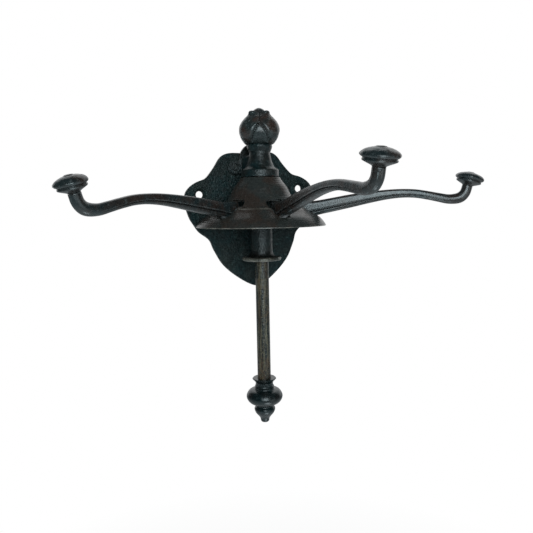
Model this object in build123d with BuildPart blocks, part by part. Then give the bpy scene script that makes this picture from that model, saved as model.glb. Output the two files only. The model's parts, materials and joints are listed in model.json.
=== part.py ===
from build123d import *
import math
import os

os.makedirs("parts", exist_ok=True)

# A cast iron coat hook with three arms on a bell that slides on an upright rod.
# Millimetres. The origin is midway between the two screw holes, on the plate's back face.
# +Z is up, +Y goes into the wall, and -Y points into the room.

# Fits and clearances
running_fit = 0.08
fixed_fit = 0.05
seat_gap = 0.3
seam_gap = 0.7

# Wall plate
plate_thickness = 4.0
plate_half_width = 57.3
plate_drop = 80.0
plate_lean_angle = 3.0
plate_edge_round = 1.2
screw_spacing = 89.2
screw_hole_dia = 6.0
screw_sink_dia = 10.6
screw_sink_angle = 90.0
plate_outline_shares = [
    (0.255, 0.405), (0.377, 0.390), (0.456, 0.346), (0.509, 0.292), (0.561, 0.244),
    (0.618, 0.197), (0.672, 0.162), (0.772, 0.137), (0.860, 0.109), (0.926, 0.075),
    (0.977, 0.030), (1.000, -0.050), (0.985, -0.140), (0.935, -0.254), (0.886, -0.315),
    (0.853, -0.356), (0.790, -0.403), (0.719, -0.443), (0.677, -0.480), (0.646, -0.544),
    (0.596, -0.625), (0.553, -0.688), (0.479, -0.763), (0.307, -0.879), (0.158, -0.956),
]
plate_top_share = 0.392

# Rod, and where it stands
axis_reach = 19.6
axis_depth = plate_thickness + axis_reach
rod_dia = 11.0
rod_thread_dia = 8.0
rod_chamfer = 0.6

# Bell, with heights that start at its rim
bell_radius = 52.1
bell_height = 38.5
bell_wall = 3.4
bell_crown = 5.2
bell_back_gap = 1.5
rim_height = -28.4
slot_outer_width = 8.2
slot_inner_width = 12.8
slot_head_width = 14.4
slot_head_height = 6.3
slot_corner_radius = 3.0
slot_inner_radius = 27.0
rim_band = 5.6
slot_outer_radius = bell_radius - rim_band
slot_top = 21.3
bell_outline_shares = [
    (0.307, 1.000), (0.357, 0.896), (0.413, 0.800), (0.449, 0.691), (0.492, 0.587),
    (0.546, 0.483), (0.585, 0.405), (0.633, 0.379), (0.691, 0.364), (0.754, 0.301),
    (0.825, 0.242), (0.902, 0.179), (0.965, 0.088), (1.000, 0.016),
]

# Sleeve under the bell, with its finger flange
sleeve_radius = 8.9
sleeve_drop = 27.7
sleeve_spigot_radius = 7.4
flange_radius = 15.9
flange_lip = 2.8
flange_cove_height = 8.8
flange_under_chamfer = 1.2
flange_top_chamfer = 1.6

# Round nut that holds the bell on the sleeve
nut_radius = 11.0
nut_thickness = 3.0
nut_recess_margin = 0.3
nut_slot_count = 4
nut_slot_width = 2.4
nut_slot_depth = 1.2

# Leaf spring in the sleeve's bore
spring_width = 4.0
spring_leaf = 0.6
spring_length = 26.0
spring_bow = 1.2
spring_groove_end = 1.0

# Boss and bracket
boss_foot_radius = 15.0
boss_neck_radius = 8.3
boss_height = 19.9
boss_seat_depth = 3.0
boss_relief_radius = 13.6
boss_relief_depth = 0.6
boss_outline_shares = [
    (1.000, 0.210), (0.975, 0.275), (0.885, 0.322), (0.775, 0.385), (0.705, 0.480), (0.612, 0.700),
]
web_width = 13.0
web_foot_width = 19.0
web_low_share = 0.225
web_round = 1.5
foot_height = 17.0
foot_thickness = 2.4
foot_margin = 0.5
crest_half_width = 12.0
crest_rise = 18.6
volute_spread = 15.4
volute_drop = 0.9
volute_radius = 4.8
volute_band = 1.5
volute_eye_radius = 2.0
volute_rise = 2.0
bracket_screw_dia = 4.0
bracket_screw_head_dia = 7.4
bracket_screw_length = 15.0
bracket_screw_spacing = 9.0
bracket_screw_slot_width = 1.2
bracket_screw_slot_depth = 1.2

# Ring and bud finial above the boss
ring_radius = 10.1
ring_thickness = 5.4
ring_outline_shares = [(0.880, 0.000), (0.925, 0.260), (1.000, 0.720), (0.950, 1.000)]
bud_base_radius = 9.4
bud_base_share = 0.16
bud_height = 28.9
bud_thread_depth = 14.0
bud_angle = -20.0
petal_count = 4
petal_radius = 11.4
petal_offset = 6.0
sepal_radius = 3.4
sepal_offset = 10.2
sepal_height = 12.0
petal_outline_shares = [
    (0.590, 0.020), (0.860, 0.160), (1.000, 0.360), (0.880, 0.580), (0.630, 0.740), (0.420, 0.850),
    (0.220, 0.940),
]

# Stop and finial at the rod's lower end
stop_flare_radius = 9.9
stop_waist_radius = 7.3
stop_height = 8.2
stop_cup_depth = 1.6
stop_ring_radius = 8.0
stop_chamfer = 0.6
ball_radius = 15.1
ball_finial_height = 30.2
ball_outline_shares = [
    (0.530, 0.010), (0.720, 0.060), (0.940, 0.150), (1.000, 0.240), (0.950, 0.330), (0.740, 0.430),
    (0.500, 0.490), (0.480, 0.515), (0.560, 0.575), (0.570, 0.642), (0.470, 0.740), (0.250, 0.900),
]

# How far the sleeve slides down before it meets the stop
slide_travel = 98.4

# Arms, alike but for the direction that each points in and how it lies on its slot
arm_angle = {"left": -62.4, "centre": 0.4, "right": 63.2}
arm_lift_angle = {"left": -1.7, "centre": 3.1, "right": 0.0}
pivot_radius = 31.0
pivot_height = 9.1
pivot_dia = 4.0
pivot_eye_radius = 5.8
hub_radius = 5.0
hub_side_gap = 0.2
root_rise = 10.4
root_round = 1.0
arm_reach = 133.3
arm_rise = 25.0
arm_width = 7.4
arm_edge_round = 1.6
arm_top_shares = [
    (0.098, 0.420), (0.302, 0.588), (0.407, 0.655), (0.513, 0.712), (0.603, 0.728), (0.686, 0.700),
    (0.758, 0.636), (0.822, 0.568), (0.876, 0.520), (0.915, 0.540), (0.940, 0.640), (0.956, 0.765),
]
arm_under_shares = [
    (1.012, 0.690), (0.990, 0.480), (0.955, 0.300), (0.905, 0.222), (0.870, 0.232), (0.810, 0.308),
    (0.757, 0.376), (0.684, 0.444), (0.566, 0.444), (0.460, 0.372), (0.302, 0.172),
]

# Cheeks that carry each arm's pin, inside the bell
cheek_thickness = 3.4
cheek_radius = 6.4
cheek_outer_share = 0.364
pin_chamfer = 0.4

# Knobs
knob_radius = 11.0
knob_tilt_angle = 15.0
knob_base_radius = 3.9
knob_base_drop = 7.0
knob_rise = 5.4
tenon_dia = 4.5
tenon_head_radius = 3.2
tenon_head_rise = 0.8
tenon_head_taper_angle = 30.0
knob_outline_shares = [
    (0.770, -0.620), (0.815, -0.520), (0.805, -0.420), (0.740, -0.330), (0.940, -0.130),
    (1.000, -0.030), (0.985, 0.050),
]
knob_dome_shares = [(0.820, 0.430), (0.560, 0.760), (0.300, 0.930)]

# Places worked out from the sizes above
bell_top = rim_height + bell_height
boss_foot = bell_top + seam_gap
boss_top = boss_foot + boss_height
ring_top = boss_top + ring_thickness
bud_top = ring_top + bud_height
sleeve_foot = rim_height - sleeve_drop
stop_top = sleeve_foot - slide_travel - seat_gap
stop_foot = stop_top - stop_height
ball_foot = stop_foot - ball_finial_height
sleeve_bore = rod_dia / 2 + running_fit
bell_back = axis_reach - bell_back_gap

rod_axis = Axis((0, -axis_depth, 0), (0, 0, 1))
rod_side = Plane.XZ.offset(axis_depth)


def level(height):
    """Horizontal plane at a height, with its middle on the rod's axis."""
    return Plane((0, -axis_depth, height), x_dir=(1, 0, 0), z_dir=(0, 0, 1))


def side_at(turn):
    """Upright plane through the rod's axis, with its x axis at a turn from straight out."""
    angle = math.radians(turn)
    out = (math.sin(angle), -math.cos(angle), 0)
    across = (-math.cos(angle), -math.sin(angle), 0)
    return Plane((0, -axis_depth, 0), x_dir=out, z_dir=across)


def scaled(shares, width, height, start=0):
    """Outline points from shares of a width and a height."""
    return [(across * width, start + up * height) for across, up in shares]


def inset(points, wall):
    """The same outline moved inward by a wall's thickness."""
    moved = []
    for place, (x, y) in enumerate(points):
        before = points[max(place - 1, 0)]
        after = points[min(place + 1, len(points) - 1)]
        run = math.hypot(after[0] - before[0], after[1] - before[1])
        normal = ((before[1] - after[1]) / run, (after[0] - before[0]) / run)
        moved.append((x - normal[0] * wall, y - normal[1] * wall))
    return moved


def keep(builder, name):
    """Label a finished piece and write its file."""
    builder.part.label = name
    export_step(builder.part, f"parts/{name}.step")


# Wall plate
def make_wall_plate():
    lean = math.radians(plate_lean_angle)
    face = Plane((0, 0, 0), x_dir=(math.cos(lean), 0, math.sin(lean)), z_dir=(0, -1, 0))
    right = scaled(plate_outline_shares, plate_half_width, plate_drop)
    left = [(-x, y) for x, y in reversed(right)]
    top = (0, plate_top_share * plate_drop)
    foot = (0, -plate_drop)
    with BuildPart() as plate:
        with BuildSketch(face):
            with BuildLine():
                Spline(top, *right, foot, *left, periodic=True)
            make_face()
        extrude(amount=plate_thickness)
        front = plate.faces().sort_by(Axis.Y)[0]
        fillet(front.edges(), radius=plate_edge_round)
        with Locations(face.offset(plate_thickness)):
            with Locations((-screw_spacing / 2, 0), (screw_spacing / 2, 0)):
                CounterSinkHole(
                    screw_hole_dia / 2,
                    screw_sink_dia / 2,
                    counter_sink_angle=screw_sink_angle,
                )
        with Locations(Plane((0, 0, 0), x_dir=(1, 0, 0), z_dir=(0, 1, 0))):
            with Locations(*[(0, -height) for height in bracket_screw_heights()]):
                CounterSinkHole(
                    bracket_screw_dia / 2 + fixed_fit,
                    bracket_screw_head_dia / 2 + fixed_fit,
                    counter_sink_angle=screw_sink_angle,
                )
    keep(plate, "wall_plate")


def foot_middle():
    """Height of the middle of the bracket's foot."""
    return boss_foot + seat_gap + foot_height / 2 + boss_relief_depth


def bracket_screw_heights():
    half = bracket_screw_spacing / 2
    return [foot_middle() - half, foot_middle() + half]


# Bracket with its boss
def make_bracket():
    outline = scaled(boss_outline_shares, boss_foot_radius, boss_height, boss_foot)
    web_top = boss_top - web_round
    web_low = boss_foot + boss_height * web_low_share
    neck_low = (boss_neck_radius, boss_top - web_round)
    neck_high = (boss_neck_radius, boss_top)
    with BuildPart() as bracket:
        with BuildSketch(rod_side):
            with BuildLine():
                Polyline((0, boss_foot), (boss_foot_radius, boss_foot), outline[0])
                Spline(*outline, neck_low)
                Polyline(neck_low, neck_high, (0, boss_top), (0, boss_foot))
            make_face()
        revolve(axis=rod_axis)
        # The web runs back from the boss and widens to its foot on the plate
        with BuildSketch(Plane.XZ.offset(plate_thickness)):
            with Locations((0, foot_middle())):
                RectangleRounded(web_foot_width, foot_height - foot_thickness, web_round)
        with BuildSketch(Plane.XZ.offset(axis_depth)):
            with Locations((0, (web_top + web_low) / 2)):
                RectangleRounded(web_width, web_top - web_low, web_round)
        loft()
        with BuildSketch(Plane.XZ.offset(plate_thickness)):
            with Locations((0, foot_middle())):
                Ellipse(crest_half_width, crest_rise)
            with Locations((0, foot_middle() - crest_rise)):
                Rectangle(2 * crest_half_width, 2 * crest_rise, mode=Mode.SUBTRACT)
            with Locations((0, foot_middle() - volute_drop)):
                SlotCenterToCenter(2 * volute_spread, 2 * (volute_radius + foot_margin))
        extrude(amount=foot_thickness)
        for side in (-1, 1):
            with BuildSketch(Plane.XZ.offset(plate_thickness + foot_thickness)):
                with Locations((side * volute_spread, foot_middle() - volute_drop)):
                    Circle(volute_radius)
                    Circle(volute_radius - volute_band, mode=Mode.SUBTRACT)
                    Circle(volute_eye_radius)
            extrude(amount=volute_rise)
        with BuildSketch(level(boss_foot)):
            Circle(rod_thread_dia / 2 + running_fit)
        extrude(amount=boss_height, mode=Mode.SUBTRACT)
        with BuildSketch(level(boss_foot)):
            Circle(rod_dia / 2 + fixed_fit)
        extrude(amount=boss_seat_depth, mode=Mode.SUBTRACT)
        with BuildSketch(level(boss_foot)):
            Circle(boss_relief_radius)
        extrude(amount=boss_relief_depth, mode=Mode.SUBTRACT)
        with BuildSketch(Plane.XZ.offset(plate_thickness)):
            with Locations(*[(0, height) for height in bracket_screw_heights()]):
                Circle(bracket_screw_dia / 2 + fixed_fit)
        extrude(amount=bracket_screw_length - plate_thickness + running_fit, mode=Mode.SUBTRACT)
    keep(bracket, "bracket")


def make_bracket_screws():
    head_height = (bracket_screw_head_dia - bracket_screw_dia) / 2
    with BuildPart() as screws:
        for height in bracket_screw_heights():
            shaft = Plane((0, 0, height), x_dir=(1, 0, 0), z_dir=(0, -1, 0))
            with BuildSketch(shaft):
                Circle(bracket_screw_dia / 2)
            extrude(amount=bracket_screw_length)
            with BuildSketch(shaft):
                Circle(bracket_screw_head_dia / 2)
            with BuildSketch(shaft.offset(head_height)):
                Circle(bracket_screw_dia / 2)
            loft()
            with BuildSketch(shaft):
                Rectangle(bracket_screw_head_dia, bracket_screw_slot_width)
            extrude(amount=bracket_screw_slot_depth, mode=Mode.SUBTRACT)
    keep(screws, "bracket_screws")


# Rod
def make_rod():
    shoulder = boss_foot + boss_seat_depth - fixed_fit
    upper_end = ring_top + bud_thread_depth
    lower_shoulder = stop_top - stop_cup_depth
    lower_end = stop_foot - ball_finial_height / 2
    with BuildPart() as rod:
        with BuildSketch(level(lower_shoulder)):
            Circle(rod_dia / 2)
        extrude(amount=shoulder - lower_shoulder)
        with BuildSketch(level(lower_end)):
            Circle(rod_thread_dia / 2)
        extrude(amount=upper_end - lower_end)
        ends = rod.edges().filter_by(GeomType.CIRCLE).sort_by(Axis.Z)
        chamfer([ends[0], ends[-1]], length=rod_chamfer)
    keep(rod, "rod")


# Ring and bud finial
def make_ring():
    outline = scaled(ring_outline_shares, ring_radius, ring_thickness, boss_top)
    inner = rod_thread_dia / 2 + running_fit
    with BuildPart() as ring:
        with BuildSketch(rod_side):
            with BuildLine():
                Spline(*outline)
                Polyline(outline[-1], (inner, ring_top), (inner, boss_top), outline[0])
            make_face()
        revolve(axis=rod_axis)
    keep(ring, "finial_ring")


def make_bud_finial():
    petal = scaled(petal_outline_shares, petal_radius, bud_height, ring_top)
    with BuildPart() as bud:
        with BuildSketch(level(ring_top)):
            Circle(bud_base_radius)
        extrude(amount=bud_height * bud_base_share)
        for place in range(petal_count):
            turn = bud_angle + (place + 0.5) * 360 / petal_count
            side = side_at(turn)
            middle = side.from_local_coords((petal_offset, 0, 0))
            with BuildSketch(side):
                with BuildLine():
                    points = [(petal_offset + x, y) for x, y in petal]
                    tip = (petal_offset, bud_top - seat_gap)
                    Polyline((petal_offset, ring_top), (points[0][0], ring_top), points[0])
                    Spline(*points, tip)
                    Line(tip, (petal_offset, ring_top))
                make_face()
            revolve(axis=Axis((middle.X, middle.Y, 0), (0, 0, 1)))
        for place in range(petal_count):
            side = side_at(bud_angle + place * 360 / petal_count)
            middle = side.from_local_coords((sepal_offset, 0, 0))
            with BuildSketch(side):
                with BuildLine():
                    start = (sepal_offset, ring_top + fixed_fit)
                    foot = (sepal_offset + sepal_radius / 2, ring_top + fixed_fit)
                    base = (sepal_offset + sepal_radius, ring_top + sepal_radius)
                    tip = (sepal_offset, ring_top + sepal_height)
                    Polyline(start, foot, base)
                    Spline(base, tip, tangents=[(0, 1), (-sepal_radius, sepal_height)])
                    Line(tip, start)
                make_face()
            revolve(axis=Axis((middle.X, middle.Y, 0), (0, 0, 1)))
        with BuildSketch(level(ring_top)):
            Circle(rod_thread_dia / 2 + fixed_fit)
        extrude(amount=bud_thread_depth + seat_gap, mode=Mode.SUBTRACT)
    keep(bud, "bud_finial")


# Stop and ball finial
def make_stop():
    thread = rod_thread_dia / 2 + fixed_fit
    half = stop_height / 2
    with BuildPart() as stop:
        with BuildSketch(rod_side):
            with BuildLine():
                face_end = (stop_flare_radius - stop_chamfer, stop_top)
                flare = (stop_flare_radius, stop_top - stop_chamfer)
                waist = (stop_waist_radius, stop_foot + half)
                Polyline((thread, stop_top), face_end, flare)
                ring_start = (stop_waist_radius, stop_foot + half / 2)
                Spline(flare, waist, ring_start, tangents=[(-1, -1), (0, -1)])
                ring_end = (stop_waist_radius, stop_foot)
                ThreePointArc(ring_start, (stop_ring_radius, stop_foot + half / 4), ring_end)
                Polyline(ring_end, (thread, stop_foot), (thread, stop_top))
            make_face()
        revolve(axis=rod_axis)
        with BuildSketch(level(stop_top)):
            Circle(rod_dia / 2 + fixed_fit)
        extrude(amount=-stop_cup_depth, mode=Mode.SUBTRACT)
    keep(stop, "lower_stop")


def make_ball_finial():
    outline = [(x, stop_foot - y) for x, y in scaled(ball_outline_shares, ball_radius, ball_finial_height)]
    with BuildPart() as ball:
        with BuildSketch(rod_side):
            with BuildLine():
                Polyline((0, stop_foot), (outline[0][0], stop_foot), outline[0])
                Spline(*outline, (0, ball_foot), tangents=[(0, -1), (-1, 0)])
                Line((0, ball_foot), (0, stop_foot))
            make_face()
        revolve(axis=rod_axis)
        with BuildSketch(level(stop_foot)):
            Circle(rod_thread_dia / 2 + fixed_fit)
        extrude(amount=-(ball_finial_height / 2 + seat_gap), mode=Mode.SUBTRACT)
    keep(ball, "ball_finial")


# Where each arm lies: the arm and its pin turn together about the slot's outer end
def bearing_point():
    """Where an arm's underside lies on its slot's outer end, as a radius and a height."""
    outline = scaled(bell_outline_shares, bell_radius, bell_height, rim_height + seat_gap)
    for inside, outside in zip(outline, outline[1:]):
        if inside[0] <= slot_outer_radius <= outside[0]:
            share = (slot_outer_radius - inside[0]) / (outside[0] - inside[0])
            return (slot_outer_radius, inside[1] + share * (outside[1] - inside[1]))


def lifted(point, name):
    """A point of the arm in its own side plane, turned by the arm's lift."""
    x0, y0 = bearing_point()
    angle = math.radians(arm_lift_angle[name])
    dx = point[0] - x0
    dy = point[1] - y0
    return (
        x0 + dx * math.cos(angle) - dy * math.sin(angle),
        y0 + dx * math.sin(angle) + dy * math.cos(angle),
    )


def pivot_point(name):
    return lifted((pivot_radius, rim_height + pivot_height), name)


def slot_cutter(turn):
    """A slot's whole space: wide about the hub, narrow at its outer end, with a wide round head."""
    start = slot_inner_radius - bell_wall - seat_gap
    wide_end = pivot_radius + hub_radius + seat_gap
    low = rim_height + bell_wall / 2
    high = rim_height + slot_top
    side = side_at(turn)
    deck = Plane(side.from_local_coords((0, low, 0)), x_dir=side.x_dir, z_dir=(0, 0, 1))
    front = Plane(side.from_local_coords((start, 0, 0)), x_dir=-side.z_dir, z_dir=side.x_dir)
    with BuildPart() as cutter:
        with BuildSketch(deck):
            with BuildLine():
                Polyline(
                    (start, slot_head_width / 2),
                    (start, -slot_head_width / 2),
                    (pivot_radius, -slot_head_width / 2),
                    (wide_end, -slot_inner_width / 2),
                    (slot_outer_radius, -slot_outer_width / 2),
                    (slot_outer_radius, slot_outer_width / 2),
                    (wide_end, slot_inner_width / 2),
                    (pivot_radius, slot_head_width / 2),
                    close=True,
                )
            make_face()
        extrude(amount=high - low)
        with BuildSketch(front):
            with Locations((0, high - slot_head_height / 2)):
                RectangleRounded(slot_head_width, slot_head_height, slot_corner_radius)
            with Locations((0, low)):
                Rectangle(slot_inner_width, 2 * (high - low - slot_head_height / 2))
        extrude(amount=slot_outer_radius - start, mode=Mode.INTERSECT)
    return cutter.part


# Bell
def make_bell():
    outer = scaled(bell_outline_shares, bell_radius, bell_height, rim_height)
    inner = inset(outer, bell_wall)
    hollow_top = bell_top - bell_crown
    inner = [point for point in inner if rim_height < point[1] < hollow_top - bell_wall / 2]
    inner_rim = (inner[-1][0], rim_height)
    with BuildPart() as bell:
        with BuildSketch(rod_side):
            with BuildLine():
                rim = (bell_radius, rim_height)
                Line((0, bell_top), outer[0])
                Spline(*outer)
                Polyline(outer[-1], rim, inner_rim, inner[-1])
                Spline(*reversed(inner))
                ceiling = (inner[0][0] - bell_wall, hollow_top)
                Polyline(inner[0], ceiling, (0, hollow_top), (0, bell_top))
            make_face()
        revolve(axis=rod_axis)
        # Cheeks on each side of the slots hang from the roof and carry the pins
        for name, turn in arm_angle.items():
            across, up = pivot_point(name)
            cheek_inner_top = rim_height + slot_top - bell_wall
            cheek_outer_top = rim_height + bell_height * cheek_outer_share - bell_wall / 2
            for side in (-1, 1):
                with BuildSketch(side_at(turn).offset(side * slot_inner_width / 2)):
                    with Locations((across, up)):
                        Circle(cheek_radius)
                    with BuildLine():
                        Polyline(
                            (across - cheek_radius, up),
                            (across + cheek_radius, up),
                            (across + cheek_radius, cheek_outer_top),
                            (across - cheek_radius, cheek_inner_top),
                            close=True,
                        )
                    make_face()
                extrude(amount=side * cheek_thickness)
        # Slots let the arms through and up
        for turn in arm_angle.values():
            add(slot_cutter(turn), mode=Mode.SUBTRACT)
        # Flat back that passes the wall plate
        with BuildSketch(level(rim_height)):
            with Locations((0, bell_back + bell_radius)):
                Rectangle(3 * bell_radius, 2 * bell_radius)
        extrude(amount=bell_height, mode=Mode.SUBTRACT)
        # Bore and recess for the sleeve and its nut
        with BuildSketch(level(hollow_top)):
            Circle(sleeve_spigot_radius + fixed_fit)
        extrude(amount=bell_crown, mode=Mode.SUBTRACT)
        with BuildSketch(level(bell_top)):
            Circle(nut_radius + nut_recess_margin)
        extrude(amount=-nut_thickness, mode=Mode.SUBTRACT)
        for name, turn in arm_angle.items():
            with BuildSketch(side_at(turn)):
                with Locations(pivot_point(name)):
                    Circle(pivot_dia / 2 + fixed_fit)
            extrude(amount=slot_inner_width / 2 + cheek_thickness, both=True, mode=Mode.SUBTRACT)
    keep(bell, "bell")


# Sleeve
def make_sleeve():
    shoulder = bell_top - bell_crown
    cove_top = sleeve_foot + flange_cove_height
    lip_top = sleeve_foot + flange_lip
    with BuildPart() as sleeve:
        with BuildSketch(rod_side):
            with BuildLine():
                lip_low = (flange_radius - flange_under_chamfer, sleeve_foot)
                lip_side = (flange_radius, sleeve_foot + flange_lip / 2)
                lip_high = (flange_radius - flange_top_chamfer, lip_top)
                ThreePointArc(lip_low, lip_side, lip_high)
                cove = (sleeve_radius, cove_top)
                Spline(lip_high, cove, tangents=[(-1, 0), (0, 1)])
                Polyline(
                    cove,
                    (sleeve_radius, shoulder),
                    (sleeve_spigot_radius, shoulder),
                    (sleeve_spigot_radius, bell_top),
                    (sleeve_bore, bell_top),
                    (sleeve_bore, sleeve_foot),
                    lip_low,
                )
            make_face()
        revolve(axis=rod_axis)
        # Groove for the leaf spring, at the back of the bore
        with BuildSketch(level(spring_foot() - spring_groove_end)):
            with Locations((0, sleeve_bore)):
                Rectangle(spring_width + running_fit * 2, 2 * (spring_bow + spring_leaf))
        extrude(amount=spring_length + 2 * spring_groove_end, mode=Mode.SUBTRACT)
    keep(sleeve, "sleeve")


def spring_foot():
    """Lower end of the leaf spring, which sits in the middle of the sleeve's height."""
    return (sleeve_foot + bell_top) / 2 - spring_length / 2


def make_grip_spring():
    inner = rod_dia / 2 + fixed_fit
    outer = inner + spring_bow
    low = spring_foot()
    middle = low + spring_length / 2
    high = low + spring_length
    with BuildPart() as spring:
        with BuildSketch(Plane.YZ):
            with BuildLine():
                bow = ((outer, low), (inner, middle), (outer, high))
                near = [(y - axis_depth, z) for y, z in bow]
                far = [(y + spring_leaf, z) for y, z in reversed(near)]
                ThreePointArc(*near)
                Line(near[-1], far[0])
                ThreePointArc(*far)
                Line(far[-1], near[0])
            make_face()
        extrude(amount=spring_width / 2, both=True)
    keep(spring, "grip_spring")


def make_crown_nut():
    with BuildPart() as nut:
        with BuildSketch(level(bell_top - nut_thickness)):
            Circle(nut_radius)
            Circle(sleeve_spigot_radius + fixed_fit, mode=Mode.SUBTRACT)
            with PolarLocations(nut_radius, nut_slot_count):
                Rectangle(2 * nut_slot_depth, nut_slot_width, mode=Mode.SUBTRACT)
        extrude(amount=nut_thickness)
    keep(nut, "crown_nut")


# Arms, knobs and pins
def knob_plane(name):
    """Plane of an arm's side, with its origin at the knob's base and y along the knob's axis."""
    side = side_at(arm_angle[name])
    last = arm_top_shares[-1]
    first = arm_under_shares[0]
    base = (
        pivot_radius + (last[0] + first[0]) / 2 * arm_reach,
        rim_height + pivot_height + (last[1] + first[1]) / 2 * arm_rise,
    )
    across, up = lifted(base, name)
    origin = side.from_local_coords((across, up, 0))
    tilt = math.radians(arm_lift_angle[name] - knob_tilt_angle)
    x_dir = side.x_dir * math.cos(tilt) + side.y_dir * math.sin(tilt)
    return Plane(origin, x_dir=x_dir, z_dir=side.z_dir)


def make_arm(name):
    side = side_at(arm_angle[name])
    start = rim_height + pivot_height

    def placed(shares):
        return [lifted((pivot_radius + x * arm_reach, start + y * arm_rise), name) for x, y in shares]

    top = placed(arm_top_shares)
    under = placed(arm_under_shares) + [bearing_point()]
    eye_top = lifted((pivot_radius, start + pivot_eye_radius), name)
    eye_back = lifted((pivot_radius - pivot_eye_radius, start), name)
    eye_low = lifted((pivot_radius, start - pivot_eye_radius), name)
    root_low = lifted((pivot_radius, start + root_rise - root_round), name)
    root_high = lifted((pivot_radius + root_round, start + root_rise), name)
    knob = knob_plane(name)
    axis = knob.y_dir
    with BuildPart() as arm:
        with BuildSketch(side):
            with BuildLine():
                Polyline(eye_top, root_low, root_high, top[0])
                Spline(*top)
                Line(top[-1], under[0])
                Spline(*under)
                Line(under[-1], eye_low)
                ThreePointArc(eye_low, eye_back, eye_top)
            make_face()
        extrude(amount=arm_width / 2, both=True)
        long_edges = arm.edges().filter_by(GeomType.BSPLINE)
        fillet(long_edges, radius=arm_edge_round)
        with BuildSketch(side):
            with Locations(pivot_point(name)):
                Circle(hub_radius)
        extrude(amount=slot_inner_width / 2 - hub_side_gap, both=True)
        with BuildSketch(side):
            with Locations(pivot_point(name)):
                Circle(pivot_dia / 2 + running_fit)
        extrude(amount=slot_inner_width / 2, both=True, mode=Mode.SUBTRACT)
        tenon_foot = Plane(knob.origin - axis * tenon_dia, x_dir=knob.x_dir, z_dir=axis)
        tenon_length = tenon_dia + knob_base_drop + knob_rise
        with BuildSketch(tenon_foot):
            Circle(tenon_dia / 2)
        extrude(amount=tenon_length)
        with BuildSketch(tenon_foot.offset(tenon_length)):
            Circle(tenon_head_radius)
        extrude(amount=tenon_head_rise, taper=tenon_head_taper_angle)
    keep(arm, f"arm_{name}")


def make_knob(name):
    plane = knob_plane(name)
    axis = Axis(plane.origin, plane.y_dir)
    low = [(x * knob_radius, knob_base_drop + y * knob_base_drop) for x, y in knob_outline_shares]
    dome = [(x * knob_radius, knob_base_drop + y * knob_rise) for x, y in knob_dome_shares]
    crown = knob_base_drop + knob_rise
    bore = tenon_dia / 2 + fixed_fit
    with BuildPart() as knob:
        with BuildSketch(plane):
            with BuildLine():
                Polyline((bore, fixed_fit), (knob_base_radius, fixed_fit), low[0])
                Polyline(*low)
                Spline(low[-1], *dome, (tenon_head_radius + fixed_fit, crown))
                Polyline((tenon_head_radius + fixed_fit, crown), (bore, crown), (bore, fixed_fit))
            make_face()
        revolve(axis=axis)
    keep(knob, f"knob_{name}")


def make_pin(name):
    half = slot_inner_width / 2 + cheek_thickness
    side = side_at(arm_angle[name])
    with BuildPart() as pin:
        with BuildSketch(side.offset(-half)):
            with Locations(pivot_point(name)):
                Circle(pivot_dia / 2)
        extrude(amount=2 * half)
        chamfer(pin.edges(), length=pin_chamfer)
    keep(pin, f"hinge_pin_{name}")


make_wall_plate()
make_bracket()
make_bracket_screws()
make_rod()
make_ring()
make_bud_finial()
make_stop()
make_ball_finial()
make_bell()
make_sleeve()
make_grip_spring()
make_crown_nut()
for arm_name in arm_angle:
    make_arm(arm_name)
    make_knob(arm_name)
    make_pin(arm_name)
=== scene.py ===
import json
import math
from typing import NamedTuple

import bmesh
import bpy
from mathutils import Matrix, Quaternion, Vector, noise


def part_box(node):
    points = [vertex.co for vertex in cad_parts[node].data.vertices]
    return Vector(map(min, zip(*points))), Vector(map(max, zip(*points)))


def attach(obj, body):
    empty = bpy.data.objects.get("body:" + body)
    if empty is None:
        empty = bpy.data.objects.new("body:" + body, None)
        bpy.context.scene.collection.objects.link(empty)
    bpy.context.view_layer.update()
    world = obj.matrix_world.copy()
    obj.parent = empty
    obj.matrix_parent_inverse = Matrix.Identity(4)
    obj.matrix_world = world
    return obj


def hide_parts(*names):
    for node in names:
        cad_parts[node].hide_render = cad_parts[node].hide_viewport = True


# A blackened iron coat hook: three knobbed arms on a bell that slides on an upright rod.
# Lengths are in metres, in the frame of the solid model: +Z is up, +Y goes into the wall, +X is to the right.
# Angles are in degrees, and a turn is an angle round the rod from straight out into the room, positive to the right.
# A share is a part of a named size, and a colour is linear.

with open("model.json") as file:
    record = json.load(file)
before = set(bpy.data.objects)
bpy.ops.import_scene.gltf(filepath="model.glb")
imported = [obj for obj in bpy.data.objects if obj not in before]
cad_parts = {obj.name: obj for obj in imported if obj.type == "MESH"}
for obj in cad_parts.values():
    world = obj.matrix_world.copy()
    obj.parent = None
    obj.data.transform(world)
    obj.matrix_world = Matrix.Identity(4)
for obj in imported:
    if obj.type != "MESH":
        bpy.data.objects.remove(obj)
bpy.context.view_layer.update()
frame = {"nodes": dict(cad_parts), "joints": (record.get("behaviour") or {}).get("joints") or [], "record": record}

MM = 0.001
UP = Vector((0, 0, 1))

# Places read from the solids
hinges = {joint["child"]: joint for joint in frame["joints"] if joint["type"] == "hinge"}
rod_low, rod_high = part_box("rod")
rod_middle = (rod_low + rod_high) / 2
axis_foot = Vector((rod_middle.x, rod_middle.y, 0))
rim_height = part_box("bell")[0].z
lip_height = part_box("sleeve")[0].z

# Camera, as fitted to the rod, the bell, the plate and the arms
camera_distance = 0.422
camera_turn = -22.7
camera_shift_right = 0.0037
camera_above_rim = 0.0153
camera_pitch = 6.53
camera_roll = 1.13
camera_clip_start = 0.01
camera_focal_pixels = 520
photo_pixels = 533
sensor_width_mm = 36

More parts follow.
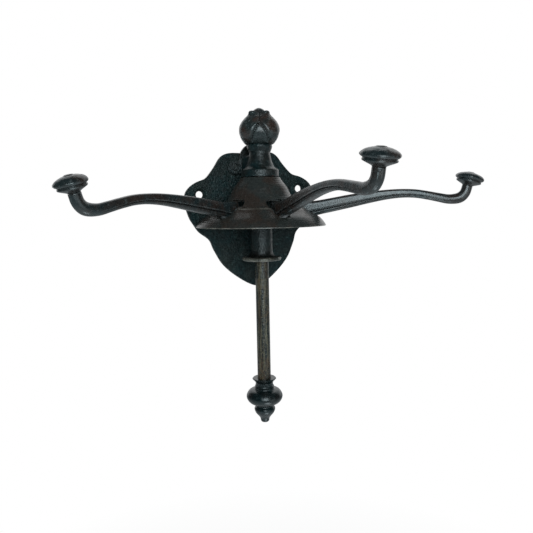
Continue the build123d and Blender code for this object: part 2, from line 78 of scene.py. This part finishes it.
# Bud finial: two petals meet in a groove in front of the eye, with a small sepal at its foot.
# Radii are shares of the largest one and heights are shares of the bud's.
bud_turn = -20.0
bud_radius = 0.0176
bud_ring_steps = 288
petal_count = 4
petal_profile_shares = [
    (0.534, 0.000), (0.690, 0.030), (0.875, 0.130), (0.977, 0.260), (1.000, 0.360), (0.966, 0.480),
    (0.886, 0.590), (0.750, 0.690), (0.640, 0.760), (0.588, 0.810), (0.580, 0.850), (0.534, 0.888),
    (0.475, 0.884), (0.420, 0.850), (0.385, 0.832), (0.360, 0.850), (0.310, 0.900), (0.200, 0.955),
    (0.080, 0.990), (0.001, 1.000),
]
groove_profile_shares = [
    (0.534, 0.000), (0.660, 0.030), (0.815, 0.130), (0.905, 0.260), (0.928, 0.360), (0.890, 0.480),
    (0.795, 0.590), (0.660, 0.690), (0.534, 0.760), (0.450, 0.800), (0.398, 0.825), (0.364, 0.840),
    (0.352, 0.843), (0.343, 0.850), (0.330, 0.862), (0.312, 0.880), (0.275, 0.915), (0.185, 0.958),
    (0.075, 0.990), (0.001, 1.000),
]
petal_swell_power = 0.7
petal_tip_share = 0.74
petal_tip_turn = 8.0
petal_tip_overlap_turn = 6.0
sepal_height_share = 0.56
sepal_foot_turn = 34.0
sepal_edge_power = 0.8
sepal_sink = 0.0011
sepal_crown_share = 0.5
crease_depth = 0.0012
crease_turn = 3.2
crease_foot_share = 0.03
crease_top_share = 0.97
crease_fade_in_share = 0.12
crease_fade_out_share = 0.25
crease_end_share = 0.99

# Arms: middle line and half height, as shares of the reach, from the hinge to the knob
arm_reach = 0.1333
arm_half_width = 0.0037
arm_lift = {"arm_left": -1.7, "arm_centre": 3.1, "arm_right": 0.0}
arm_path_shares = [
    (0.000, 0.017, 0.061), (0.030, 0.023, 0.056), (0.100, 0.035, 0.044), (0.200, 0.053, 0.041), (0.302, 0.072, 0.039),
    (0.407, 0.090, 0.034), (0.513, 0.105, 0.029), (0.605, 0.111, 0.026), (0.685, 0.108, 0.025),
    (0.758, 0.096, 0.025), (0.820, 0.083, 0.026), (0.880, 0.072, 0.028), (0.938, 0.078, 0.031),
    (0.970, 0.105, 0.030), (0.985, 0.148, 0.029),
]
arm_side_steps = 96
flat_until_share = 0.45
round_from_share = 0.80
round_power = 2.0
flat_power_rise = 1.8
groove_height_share = 0.38
groove_half_width_share = 0.075
groove_depth = 0.0010
bead_height_share = 0.20
bead_rise = 0.0004
eye_radius = 0.0058
eye_bore = 0.0021
eye_rim_share = 0.84
hub_radius = 0.0050
hub_half_width = 0.0062
hub_rim_share = 0.92
drum_chamfer = 0.0006
drum_steps = 48

# Knobs, as shares of the rim's radius and of the knob's height
knob_radius = {"knob_left": 0.0100, "knob_centre": 0.0109, "knob_right": 0.0107}
knob_height = 0.0106
knob_tilt = 15.0
knob_ring_steps = 96
knob_profile_steps = 5
knob_profile_shares = [
    (0.350, 0.005), (0.430, 0.060), (0.560, 0.120), (0.720, 0.190), (0.840, 0.250), (0.880, 0.300),
    (0.872, 0.345), (0.842, 0.375), (0.850, 0.410), (0.920, 0.450), (0.980, 0.505), (1.000, 0.560),
    (0.985, 0.625), (0.925, 0.705), (0.810, 0.790), (0.650, 0.865), (0.470, 0.920), (0.320, 0.948),
    (0.268, 0.972), (0.225, 0.992), (0.120, 1.002), (0.005, 1.005),
]
knob_rim_share = 0.57
knob_rim_spread_share = 0.16
knob_lobes = 11
knob_lobe_share = 0.010
knob_waves = 3
knob_wave_start = 1
knob_wave_share = 0.012
cast_depth = 0.00014
cast_scale = 260
cast_octaves = 3
cast_lacunarity = 2.0
cast_falloff = 0.8

# Steps between two given points of an arm's path or of a bud's profile
path_steps = 8

# Floor, white to the camera from where its fade ends
floor_drop = 0.5
floor_half_width = 6.0
floor_grey = 0.9
floor_roughness = 0.9
floor_glow_share = 0.80
floor_fade_start = 0.25
floor_fade_end = 0.75

# Reflections see white round one turn, from the cosine where it starts to the one where it is full
mirror_turn = 151.5
mirror_start = 0.46
mirror_full = 0.58
soft_light = (0.86, 0.96, 1.0)
soft_strength = 0.40
room_light = (0.75, 0.92, 1.0)
room_strength = 0.08
white = (1.0, 1.0, 1.0)


# Curves and meshes
def smooth_path(points, steps):
    """Points on a smooth curve through the given ones, with a number of steps between each pair."""
    known = [Vector(point) for point in points]
    known = [2 * known[0] - known[1], *known, 2 * known[-1] - known[-2]]
    path = []
    for before, start, end, after in zip(known, known[1:], known[2:], known[3:]):
        for step in range(steps):
            t = step / steps
            path.append(
                (2 * start + (end - before) * t
                 + (2 * before - 5 * start + 4 * end - after) * t ** 2
                 + (3 * start - before - 3 * end + after) * t ** 3) / 2
            )
    path.append(known[-2])
    return path


def smooth_step(value):
    """A value kept between 0 and 1, with a soft start and end."""
    value = min(1, max(0, value))
    return value * value * (3 - 2 * value)


def bell_curve(value, middle, half_width):
    """1 at the middle, falling to 1/e at half a width to either side."""
    return math.exp(-(((value - middle) / half_width) ** 2))


def skin(mesh, rings):
    """Quads between closed rings of points that all have the same count."""
    rows = [[mesh.verts.new(point) for point in ring] for ring in rings]
    for row, following in zip(rows, rows[1:]):
        for place in range(len(row)):
            after = (place + 1) % len(row)
            mesh.faces.new((row[place], row[after], following[after], following[place]))
    return rows


def turned(mesh, profile, origin, axis, side, count, shape=None):
    """Turn a profile of radius and height about an axis. A shape function changes each radius."""
    across = axis.cross(side)
    rings = []
    for radius, height in profile:
        ring = []
        for step in range(count):
            angle = 2 * math.pi * step / count
            reach = shape(radius, height, angle) if shape else radius
            out = side * math.cos(angle) + across * math.sin(angle)
            ring.append(origin + axis * height + out * reach)
        rings.append(ring)
    skin(mesh, rings)


def finish_piece(name, mesh, body, material, replaced):
    """Turn a bmesh into a piece that rides on a body and stands for the replaced solid."""
    bmesh.ops.recalc_face_normals(mesh, faces=mesh.faces)
    data = bpy.data.meshes.new(name)
    mesh.to_mesh(data)
    mesh.free()
    for face in data.polygons:
        face.use_smooth = True
    piece = bpy.data.objects.new(name, data)
    bpy.context.scene.collection.objects.link(piece)
    piece.data.materials.append(material)
    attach(piece, body)
    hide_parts(replaced)


def turn_direction(turn):
    """Level direction at a turn."""
    angle = math.radians(turn)
    return Vector((math.sin(angle), -math.cos(angle), 0))


# Shader nodes. A value may be a number, a tuple or another node's output
def feed(tree, socket, value):
    """Give an input its value."""
    if isinstance(value, bpy.types.NodeSocket):
        tree.links.new(value, socket)
    else:
        socket.default_value = value


def add(tree, kind, **values):
    """Add a node and feed its inputs by name, with an underscore for each space."""
    made = tree.nodes.new(kind)
    for name, value in values.items():
        feed(tree, made.inputs[name.replace("_", " ")], value)
    return made


def operate(tree, kind, operation, *values):
    """Add a math or vector math node and feed its inputs in order."""
    made = tree.nodes.new(kind)
    made.operation = operation
    for socket, value in zip(made.inputs, values):
        feed(tree, socket, value)
    return made


def times(tree, value, factor):
    """Product of two numbers."""
    return operate(tree, "ShaderNodeMath", "MULTIPLY", value, factor).outputs["Value"]


def plus(tree, value, other):
    """Sum of two numbers."""
    return operate(tree, "ShaderNodeMath", "ADD", value, other).outputs["Value"]


def ramp(tree, value, low, high):
    """A number stretched so that low becomes 0 and high becomes 1, and kept between them."""
    return add(tree, "ShaderNodeMapRange", Value=value, From_Min=low, From_Max=high).outputs["Result"]


def blend(tree, share, first, second):
    """Mix two colours. The mix node's colour inputs are its seventh and eighth, and its colour output the third."""
    made = tree.nodes.new("ShaderNodeMix")
    made.data_type = "RGBA"
    feed(tree, made.inputs["Factor"], share)
    for socket, colour in zip(made.inputs[6:8], (first, second)):
        feed(tree, socket, (*colour, 1) if isinstance(colour, tuple) else colour)
    return made.outputs[2]


def mix_shaders(tree, share, first, second):
    """Mix two shaders."""
    made = tree.nodes.new("ShaderNodeMixShader")
    for socket, value in zip(made.inputs, (share, first, second)):
        feed(tree, socket, value)
    return made.outputs["Shader"]


# Iron
class Marks(NamedTuple):
    """Noise with a scale in cycles per metre, and the values where its marks start and are full."""

    scale: float
    start: float
    full: float
    detail: float = 4.0
    roughness: float = 0.6


class Band(NamedTuple):
    """A ring round the rod's axis painted into the colour, as a painted highlight or as painted shade, broken up by
    noise.
    """

    height: float
    half_width: float
    strength: float
    colour: tuple


class Look(NamedTuple):
    """Colours of an iron, the depth of its pits, the strength of its frost and soot as grain, and its other marks,
    with its rings of painted highlight and painted shade.
    """

    cool: tuple
    warm: tuple
    worn: tuple
    pits: float
    roughness: float
    gloss: float
    grain: float = 1.0
    rust: float = 0.0
    streaks: float = 0.0
    turned_rings: float = 0.0
    painted_bands: tuple = ()
    fine_mesh: bool = False


# Colour marks. Frost takes the worn colour, and soot a dark shade of the cool one
patches = Marks(60, 0.42, 0.58)
frost = Marks(520, 0.56, 0.68, detail=3.0)
frost_strength = 0.45
soot = Marks(380, 0.46, 0.60)
soot_strength = 0.80
soot_shade = 0.25
rubs = Marks(220, 0.35, 0.65)
rust_spots = Marks(95, 0.66, 0.74, detail=6.0, roughness=0.7)
rust_colour = (0.16, 0.062, 0.022)
bright_streaks = Marks(620, 0.47, 0.62, detail=3.0)
brown_streaks = Marks(330, 0.50, 0.62)
streak_stretch = (1, 1, 0.09)
# Noise that breaks up the painted highlight and painted shade rings
band_breakup = Marks(160, 0.35, 0.60)
band_fade = 0.25 * MM
band_underside = -0.95
band_upright = -0.70

# Corners by how far their rounded normal leaves the face, and ridges and hollow places by pointiness. Hollow places
# get painted shade, near black
corner_radius = 0.45 * MM
corner_start = 0.99
corner_full = 0.88
crest_start = 0.515
crest_full = 0.60
hollow_shade_start = 0.490
hollow_shade_full = 0.44
hollow_shade_strength = 0.85
hollow_shade_colour = (0.003, 0.003, 0.003)

# Gloss and bump
gleam_scale = 480
gleam_range = 0.40
gloss_tint = (0.80, 0.95, 1.0, 1.0)
grit_scale = 700
swell_scale = 200
swell_height = 1.2
bump_detail = 3.0
cell_scale = 560
cell_start = 0.05
cell_full = 0.45
cell_height = 0.30
bump_strength = 0.55
bump_distance = 0.22 * MM
turned_ring_pitch = 1.15 * MM

# Rings painted round the axis: painted highlights at the bell's rim and at the ridge over its front panel, painted
# shade above the sleeve's finger flange, and a painted lit ring and a painted highlight on the flange
ridge_rise = 14.2 * MM
painted_highlight_colour = (0.15, 0.15, 0.13)
rim_highlight_band = Band(height=rim_height, half_width=0.45 * MM, strength=1.0, colour=painted_highlight_colour)
ridge_highlight_band = Band(height=rim_height + ridge_rise, half_width=0.50 * MM, strength=0.40, colour=painted_highlight_colour)
shade_band = Band(height=lip_height + 5.8 * MM, half_width=2.4 * MM, strength=0.9, colour=(0.001, 0.001, 0.001))
flange_light_band = Band(height=lip_height + 1.6 * MM, half_width=1.3 * MM, strength=0.9, colour=(0.100, 0.104, 0.088))
lip_highlight_band = Band(height=lip_height + 0.2 * MM, half_width=0.40 * MM, strength=1.0, colour=(0.17, 0.17, 0.15))

looks = {
    "plate_iron": Look(
        cool=(0.003, 0.013, 0.014), warm=(0.007, 0.012, 0.011), worn=(0.050, 0.085, 0.083),
        pits=3.0, roughness=0.40, gloss=0.18),
    "bracket_iron": Look(
        cool=(0.002, 0.009, 0.010), warm=(0.007, 0.008, 0.007), worn=(0.045, 0.068, 0.070),
        pits=1.6, roughness=0.34, gloss=0.40, grain=0.8, rust=0.6),
    "bud_iron": Look(
        cool=(0.011, 0.017, 0.017), warm=(0.024, 0.014, 0.010), worn=(0.090, 0.110, 0.110),
        pits=1.1, roughness=0.28, gloss=0.65, grain=0.7, fine_mesh=True),
    "finial_iron": Look(
        cool=(0.002, 0.007, 0.008), warm=(0.007, 0.007, 0.007), worn=(0.050, 0.072, 0.075),
        pits=0.9, roughness=0.24, gloss=0.45, grain=0.6),
    # The bell and the sleeve carry painted highlight and painted shade rings
    "bell_iron": Look(
        cool=(0.015, 0.018, 0.017), warm=(0.019, 0.014, 0.011), worn=(0.062, 0.068, 0.062),
        pits=0.8, roughness=0.28, gloss=0.42, grain=0.35, turned_rings=0.4, painted_bands=(rim_highlight_band, ridge_highlight_band)),
    "sleeve_iron": Look(
        cool=(0.004, 0.009, 0.009), warm=(0.010, 0.009, 0.007), worn=(0.050, 0.060, 0.056),
        pits=1.8, roughness=0.32, gloss=0.40, grain=0.8, painted_bands=(shade_band, flange_light_band, lip_highlight_band)),
    "arm_iron": Look(
        cool=(0.006, 0.011, 0.012), warm=(0.014, 0.009, 0.007), worn=(0.095, 0.120, 0.125),
        pits=0.8, roughness=0.28, gloss=0.65, grain=0.5, fine_mesh=True),
    "rod_steel": Look(
        cool=(0.004, 0.007, 0.007), warm=(0.030, 0.017, 0.007), worn=(0.110, 0.105, 0.066),
        pits=1.6, roughness=0.27, gloss=0.50, grain=1.2, rust=0.8, streaks=0.55),
    "small_steel": Look(
        cool=(0.030, 0.030, 0.028), warm=(0.035, 0.030, 0.026), worn=(0.12, 0.12, 0.11),
        pits=0.5, roughness=0.42, gloss=0.50),
}
own_looks = {"lower_stop": "finial_iron", "ball_finial": "finial_iron", "sleeve": "sleeve_iron"}


def speckle(tree, place, scale, detail=4.0, roughness=0.6):
    """Noise with a scale in cycles per metre."""
    made = add(tree, "ShaderNodeTexNoise", Vector=place, Scale=scale, Detail=detail, Roughness=roughness)
    return made.outputs["Fac"]


def spread(tree, place, marks, strength=1.0):
    """Where marks lie, from 0 to their strength."""
    grains = speckle(tree, place, marks.scale, marks.detail, marks.roughness)
    return times(tree, ramp(tree, grains, marks.start, marks.full), strength)


def band_share(tree, place, geometry, band):
    """Where a painted ring of highlight or shade lies, with faces that look down left out."""
    height = add(tree, "ShaderNodeSeparateXYZ", Vector=place).outputs["Z"]
    distance = operate(tree, "ShaderNodeMath", "ABSOLUTE", plus(tree, height, -band.height)).outputs["Value"]
    ring = ramp(tree, distance, band.half_width + band_fade, band.half_width - band_fade)
    facing = add(tree, "ShaderNodeSeparateXYZ", Vector=geometry.outputs["True Normal"]).outputs["Z"]
    ring = times(tree, ring, ramp(tree, facing, band_underside, band_upright))
    return times(tree, times(tree, ring, spread(tree, place, band_breakup)), band.strength)


def iron_colour(tree, place, geometry, rounded, look):
    """Cool and warm patches with frost, soot, rubbed edges, painted shade in hollow places and the look's own marks,
    with its painted rings of highlight and shade.
    """
    colour = blend(tree, spread(tree, place, patches), look.cool, look.warm)
    colour = blend(tree, spread(tree, place, frost, frost_strength * look.grain), colour, look.worn)
    soot_colour = tuple(part * soot_shade for part in look.cool)
    colour = blend(tree, spread(tree, place, soot, soot_strength * look.grain), colour, soot_colour)

    # Pointiness finds ridges and hollow places on a fine mesh, and the hollow places get painted shade. On the large
    # faces of a solid only corners can be found
    if look.fine_mesh:
        bend = geometry.outputs["Pointiness"]
        hollow_shade = times(tree, ramp(tree, bend, hollow_shade_start, hollow_shade_full), hollow_shade_strength)
        colour = blend(tree, hollow_shade, colour, hollow_shade_colour)
        edges = ramp(tree, bend, crest_start, crest_full)
    else:
        likeness = operate(tree, "ShaderNodeVectorMath", "DOT_PRODUCT", rounded, geometry.outputs["Normal"])
        edges = ramp(tree, likeness.outputs["Value"], corner_start, corner_full)
    colour = blend(tree, times(tree, edges, spread(tree, place, rubs)), colour, look.worn)

    if look.rust:
        colour = blend(tree, spread(tree, place, rust_spots, look.rust), colour, rust_colour)
    if look.streaks:
        stretched = add(tree, "ShaderNodeMapping", Vector=place, Scale=streak_stretch).outputs["Vector"]
        colour = blend(tree, spread(tree, stretched, bright_streaks, look.streaks), colour, look.worn)
        colour = blend(tree, spread(tree, stretched, brown_streaks, look.streaks), colour, look.warm)
    # Rings of painted highlight and painted shade round the rod's axis
    for band in look.painted_bands:
        colour = blend(tree, band_share(tree, place, geometry, band), colour, band.colour)
    return colour


def turned_rings(tree, place):
    """Fine rings round the rod's axis, as a lathe leaves them."""
    offset = operate(tree, "ShaderNodeVectorMath", "SUBTRACT", place, axis_foot).outputs["Vector"]
    level = operate(tree, "ShaderNodeVectorMath", "MULTIPLY", offset, (1, 1, 0)).outputs["Vector"]
    reach = operate(tree, "ShaderNodeVectorMath", "LENGTH", level).outputs["Value"]
    phase = times(tree, reach, 2 * math.pi / turned_ring_pitch)
    return operate(tree, "ShaderNodeMath", "SINE", phase).outputs["Value"]


def iron_normal(tree, place, rounded, look):
    """Grit, swells and pits of a casting, over slightly rounded corners."""
    cells = add(tree, "ShaderNodeTexVoronoi", Vector=place, Scale=cell_scale).outputs["Distance"]
    pits = times(tree, ramp(tree, cells, cell_start, cell_full), cell_height)
    swells = times(tree, speckle(tree, place, swell_scale, bump_detail), swell_height)
    height = plus(tree, speckle(tree, place, grit_scale, bump_detail), plus(tree, pits, swells))
    if look.turned_rings:
        height = plus(tree, height, times(tree, turned_rings(tree, place), look.turned_rings))
    bump = add(
        tree, "ShaderNodeBump", Height=height, Normal=rounded,
        Strength=min(1.0, bump_strength * look.pits), Distance=bump_distance * look.pits,
    )
    return bump.outputs["Normal"]


def iron(name, look):
    """Material of blackened iron."""
    material = bpy.data.materials.new(name)
    material.use_nodes = True
    tree = material.node_tree
    shader = tree.nodes["Principled BSDF"]
    place = tree.nodes.new("ShaderNodeTexCoord").outputs["Object"]
    geometry = tree.nodes.new("ShaderNodeNewGeometry")
    rounded = add(tree, "ShaderNodeBevel", Radius=corner_radius).outputs["Normal"]
    gleam = times(tree, speckle(tree, place, gleam_scale), gleam_range)

    feed(tree, shader.inputs["Base Color"], iron_colour(tree, place, geometry, rounded, look))
    feed(tree, shader.inputs["Roughness"], plus(tree, gleam, look.roughness - gleam_range / 2))
    feed(tree, shader.inputs["Normal"], iron_normal(tree, place, rounded, look))
    shader.inputs["Specular IOR Level"].default_value = look.gloss
    shader.inputs["Specular Tint"].default_value = gloss_tint
    return material


irons = {name: iron(name, look) for name, look in looks.items()}


def dress_solids():
    """Give each solid a look of its own where it has one, or else the one named after its slot."""
    for part in frame["record"]["subparts"]:
        name = own_looks.get(part["node"], part["material_slot"])
        solid = frame["nodes"][part["node"]]
        solid.data.materials.clear()
        solid.data.materials.append(irons[name])


# Arms and knobs
def arm_directions(name):
    """Hinge point of an arm, and its outward, upward and across directions with its lift."""
    hinge = hinges[name]
    pivot = Vector(hinge["pos_m"])
    across = Vector(hinge["axis"]).normalized()
    out = UP.cross(across)
    lift = Quaternion(across, math.radians(arm_lift[name]))
    return pivot, lift @ out, lift @ UP, across


def arm_section(half_height, roundness):
    """Points round an arm's section: flat sides with a groove and a bead, or an oval at the knob."""
    power = round_power + flat_power_rise * (1 - roundness)
    side = []
    for step in range(arm_side_steps + 1):
        up = math.sin(math.pi * (step / arm_side_steps - 0.5))
        across = max(0.0, 1 - abs(up) ** power) ** (1 / power)
        groove = bell_curve(up, groove_height_share, groove_half_width_share)
        bead = bell_curve(up, bead_height_share, groove_half_width_share)
        inward = (1 - roundness) * (groove_depth * groove - bead_rise * bead) * across
        side.append((across * arm_half_width - inward, up * half_height))
    return side + [(-across, up) for across, up in reversed(side[1:-1])]


def add_drum(mesh, pivot, across, out, radius, half_width, rim_share):
    """A bored and chamfered drum on the hinge pin. Its rim covers a share of the width."""
    chamfered = radius - drum_chamfer
    outline = [
        (eye_bore, -1), (chamfered, -1), (radius, -rim_share), (radius, rim_share), (chamfered, 1), (eye_bore, 1),
        (eye_bore, -1),
    ]
    turned(mesh, [(reach, side * half_width) for reach, side in outline], pivot, across, out, drum_steps)


def make_arm(name, knob_name):
    """An arm from its eye and hub to its upturned end, with the knob on it."""
    pivot, out, up, across = arm_directions(name)
    mesh = bmesh.new()
    path = smooth_path([Vector(point) * arm_reach for point in arm_path_shares], path_steps)
    last = len(path) - 1
    rings = []
    for place, point in enumerate(path):
        before = path[max(place - 1, 0)]
        after = path[min(place + 1, last)]
        along = (out * (after.x - before.x) + up * (after.y - before.y)).normalized()
        rise = along.cross(across)
        roundness = (place / last - flat_until_share) / (round_from_share - flat_until_share)
        centre = pivot + out * point.x + up * point.y
        section = arm_section(point.z, min(1, max(0, roundness)))
        rings.append([centre + across * x + rise * y for x, y in section])
    rows = skin(mesh, rings)
    mesh.faces.new(rows[0])
    mesh.faces.new(rows[-1])
    add_drum(mesh, pivot, across, out, eye_radius, arm_half_width, eye_rim_share)
    add_drum(mesh, pivot, across, out, hub_radius, hub_half_width, hub_rim_share)
    finish_piece(f"{name}_casting", mesh, name, irons["arm_iron"], name)
    end = sum(rings[-1], Vector()) / len(rings[-1])
    make_knob(knob_name, name, end, out, up, across)


def make_knob(name, body, base, out, up, across):
    """A turned knob on an arm's end, with a slightly uneven rim and a cast skin."""
    tilt = Quaternion(across, math.radians(-knob_tilt))

    def uneven(radius, height, angle):
        near_rim = bell_curve(height / knob_height, knob_rim_share, knob_rim_spread_share)
        lobes = knob_lobe_share * near_rim * math.cos(knob_lobes * angle)
        waves = knob_wave_share * near_rim * math.cos(knob_waves * angle + knob_wave_start)
        return radius * (1 + lobes + waves)

    outline = [(reach * knob_radius[name], height * knob_height, 0) for reach, height in knob_profile_shares]
    profile = [(point.x, point.y) for point in smooth_path(outline, knob_profile_steps)]
    mesh = bmesh.new()
    turned(mesh, profile, base, tilt @ up, tilt @ out, knob_ring_steps, uneven)
    for vertex in mesh.verts:
        rough = noise.fractal(vertex.co * cast_scale, cast_falloff, cast_lacunarity, cast_octaves)
        vertex.co += (vertex.co - base).normalized() * rough * cast_depth
    finish_piece(f"{name}_casting", mesh, body, irons["arm_iron"], name)


# Bud finial
def bud_point(petal, groove, angle):
    """Radius and height share of the bud's skin, between its profiles at a petal and at a groove."""
    half_petal = 180 / petal_count
    turn = abs(math.remainder(math.degrees(angle), 2 * half_petal))
    outward = smooth_step(turn / half_petal)
    share = groove.y + (petal.y - groove.y) * outward
    if share > petal_tip_share:
        swell = smooth_step((turn - petal_tip_turn) / (half_petal - petal_tip_turn - petal_tip_overlap_turn))
    else:
        swell = outward ** petal_swell_power
    radius = (groove.x + (petal.x - groove.x) * swell) * bud_radius
    if crease_foot_share < share < crease_top_share:
        sepal_turn = sepal_foot_turn * max(0, 1 - share / sepal_height_share) ** sepal_edge_power
        fade = smooth_step(share / crease_fade_in_share)
        fade *= smooth_step((crease_end_share - share) / crease_fade_out_share)
        radius -= crease_depth * fade * bell_curve(turn, sepal_turn, crease_turn)
        if turn < sepal_turn:
            crown = 1 - sepal_crown_share * math.cos(math.pi / 2 * turn / sepal_turn)
            radius -= sepal_sink * fade * crown
    return max(0.0, radius), share


def make_bud():
    """The bud with its petals and sepals, one closed skin round the rod's axis."""
    low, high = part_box("bud_finial")
    height = high.z - low.z
    foot = axis_foot + UP * low.z
    front = turn_direction(bud_turn)
    across = UP.cross(front)
    petal_line = smooth_path([(reach, share, 0) for reach, share in petal_profile_shares], path_steps)
    groove_line = smooth_path([(reach, share, 0) for reach, share in groove_profile_shares], path_steps)
    rings = []
    for petal, groove in zip(petal_line, groove_line):
        ring = []
        for step in range(bud_ring_steps):
            angle = 2 * math.pi * step / bud_ring_steps
            radius, share = bud_point(petal, groove, angle)
            out = front * math.cos(angle) + across * math.sin(angle)
            ring.append(foot + UP * share * height + out * radius)
        rings.append(ring)
    mesh = bmesh.new()
    skin(mesh, rings)
    finish_piece("bud_petals", mesh, "fixed_frame", irons["bud_iron"], "bud_finial")


# Stage
def make_floor():
    """A pale floor that glows to the camera, all white from some way off, and keeps the object's shadow near it."""
    mesh = bmesh.new()
    bmesh.ops.create_grid(mesh, x_segments=1, y_segments=1, size=floor_half_width)
    data = bpy.data.meshes.new("floor")
    mesh.to_mesh(data)
    mesh.free()
    floor = bpy.data.objects.new("floor", data)
    bpy.context.scene.collection.objects.link(floor)
    floor.location.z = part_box("ball_finial")[0].z - floor_drop
    material = bpy.data.materials.new("pale_floor")
    material.use_nodes = True
    tree = material.node_tree
    shader = tree.nodes["Principled BSDF"]
    shader.inputs["Base Color"].default_value = (floor_grey, floor_grey, floor_grey, 1)
    shader.inputs["Roughness"].default_value = floor_roughness
    glow = add(tree, "ShaderNodeEmission", Color=(*white, 1), Strength=1.0).outputs["Emission"]
    place = tree.nodes.new("ShaderNodeTexCoord").outputs["Object"]
    reach = operate(tree, "ShaderNodeVectorMath", "LENGTH", place).outputs["Value"]
    far = ramp(tree, reach, floor_fade_start, floor_fade_end)
    share = plus(tree, times(tree, far, 1 - floor_glow_share), floor_glow_share)
    seen = tree.nodes.new("ShaderNodeLightPath").outputs["Is Camera Ray"]
    surface = mix_shaders(tree, times(tree, seen, share), shader.outputs["BSDF"], glow)
    feed(tree, tree.nodes["Material Output"].inputs["Surface"], surface)
    floor.data.materials.append(material)


def make_world():
    """White to the camera, white behind the object on the right in reflections, and dim and soft elsewhere."""
    world = bpy.data.worlds.new("studio")
    bpy.context.scene.world = world
    world.use_nodes = True
    tree = world.node_tree
    tree.nodes.clear()

    def background(colour, strength):
        made = add(tree, "ShaderNodeBackground", Color=(*colour, 1), Strength=strength)
        return made.outputs["Background"]

    rays = tree.nodes.new("ShaderNodeLightPath").outputs
    direction = tree.nodes.new("ShaderNodeTexCoord").outputs["Generated"]
    towards = operate(tree, "ShaderNodeVectorMath", "DOT_PRODUCT", direction, turn_direction(mirror_turn))
    behind = ramp(tree, towards.outputs["Value"], mirror_start, mirror_full)
    backdrop = background(white, 1.0)
    mirrored = mix_shaders(tree, behind, background(room_light, room_strength), backdrop)
    lit = mix_shaders(tree, rays["Is Glossy Ray"], background(soft_light, soft_strength), mirrored)
    seen = operate(tree, "ShaderNodeMath", "MAXIMUM", rays["Is Camera Ray"], rays["Is Transmission Ray"])
    surface = mix_shaders(tree, seen.outputs["Value"], lit, backdrop)
    add(tree, "ShaderNodeOutputWorld", Surface=surface)


def make_light(name, turn, height, distance, size, power, mirrored=True):
    """A soft square light at a turn round the rod, aimed at the bell's rim. It may be left out of reflections."""
    target = axis_foot + UP * rim_height
    data = bpy.data.lights.new(name, "AREA")
    data.shape = "SQUARE"
    data.size = size
    data.energy = power
    light = bpy.data.objects.new(name, data)
    bpy.context.scene.collection.objects.link(light)
    light.location = target + turn_direction(turn) * distance + UP * height
    light.rotation_mode = "QUATERNION"
    light.rotation_quaternion = (target - light.location).to_track_quat("-Z", "Y")
    light.visible_glossy = mirrored


def make_camera():
    """The photo's camera: its place round the rod, its downward pitch and its roll."""
    out = turn_direction(camera_turn)
    right = Vector((-out.y, out.x, 0))
    data = bpy.data.cameras.new("camera")
    data.sensor_width = sensor_width_mm
    data.lens = camera_focal_pixels / photo_pixels * sensor_width_mm
    data.clip_start = camera_clip_start
    camera = bpy.data.objects.new("camera", data)
    bpy.context.scene.collection.objects.link(camera)
    camera.location = axis_foot + out * camera_distance + right * camera_shift_right
    camera.location.z = rim_height + camera_above_rim
    pitch = math.radians(camera_pitch)
    forward = -out * math.cos(pitch) - UP * math.sin(pitch)
    camera.rotation_mode = "QUATERNION"
    level_view = forward.to_track_quat("-Z", "Y")
    camera.rotation_quaternion = level_view @ Quaternion(UP, math.radians(-camera_roll))
    bpy.context.scene.camera = camera


dress_solids()
for side in ("left", "centre", "right"):
    make_arm(f"arm_{side}", f"knob_{side}")
make_bud()
make_floor()
make_world()
make_light("key", turn=-16, height=0.20, distance=0.9, size=0.55, power=6.0)
make_light("low", turn=5, height=-0.45, distance=0.20, size=0.16, power=0.3)
make_light("table", turn=25, height=-0.16, distance=0.9, size=0.5, power=0.7)
make_light("fill", turn=-70, height=0.45, distance=1.0, size=0.8, power=3.0, mirrored=False)
make_light("top", turn=55, height=0.77, distance=0.65, size=0.6, power=2.5, mirrored=False)
make_camera()

bpy.context.scene.view_settings.view_transform = "Standard"
bpy.context.view_layer.update()
